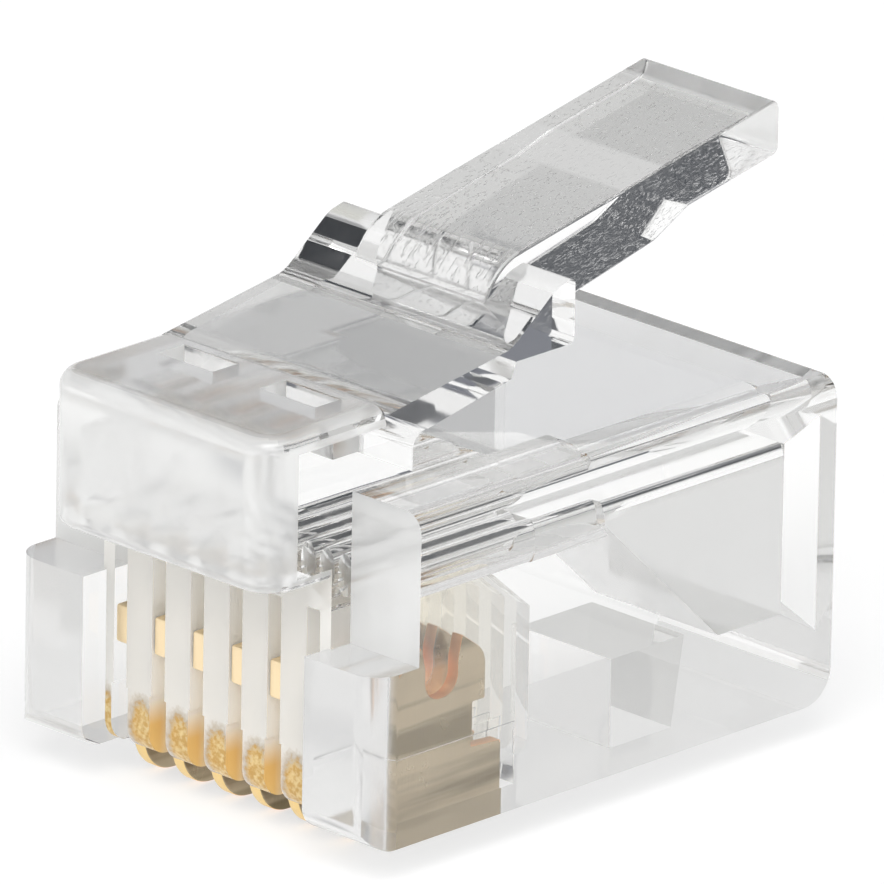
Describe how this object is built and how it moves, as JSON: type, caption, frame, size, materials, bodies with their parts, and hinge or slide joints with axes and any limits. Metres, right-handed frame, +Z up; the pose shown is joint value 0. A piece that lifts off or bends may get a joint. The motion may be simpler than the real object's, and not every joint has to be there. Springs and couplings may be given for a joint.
{
  "type": "six position modular plug",
  "caption": "Clear moulded modular telephone plug with a spring latch and gold plated contact blades, before crimping, with an open cable entry.",
  "frame": {"origin": "below the middle of the plug's length and width, level with the lowest edges of the contact blades", "axes": "+X across the plug, +Y from the nose back to the cable entry and the tip of the latch, +Z up from the contact side to the latch side"},
  "size_m": [0.0096, 0.0148, 0.0116],
  "materials": {
    "clear_plastic": "clear polished polycarbonate",
    "gold_plate": "gold plated stamped blade"
  },
  "bodies": {
    "plug": {"housing": "clear_plastic", "contact_1": "gold_plate", "contact_2": "gold_plate", "contact_3": "gold_plate", "contact_4": "gold_plate", "contact_5": "gold_plate", "contact_6": "gold_plate"},
    "latch": {"latch": "clear_plastic"}
  },
  "joints": [
    {"name": "latch_bend", "type": "hinge", "parent": "plug", "child": "latch", "pos_m": [0, -0.00328, 0.00795], "axis": [1, 0, 0], "range_deg": [-15, 0], "stiffness_Nm_per_rad": 0.2}
  ]
}
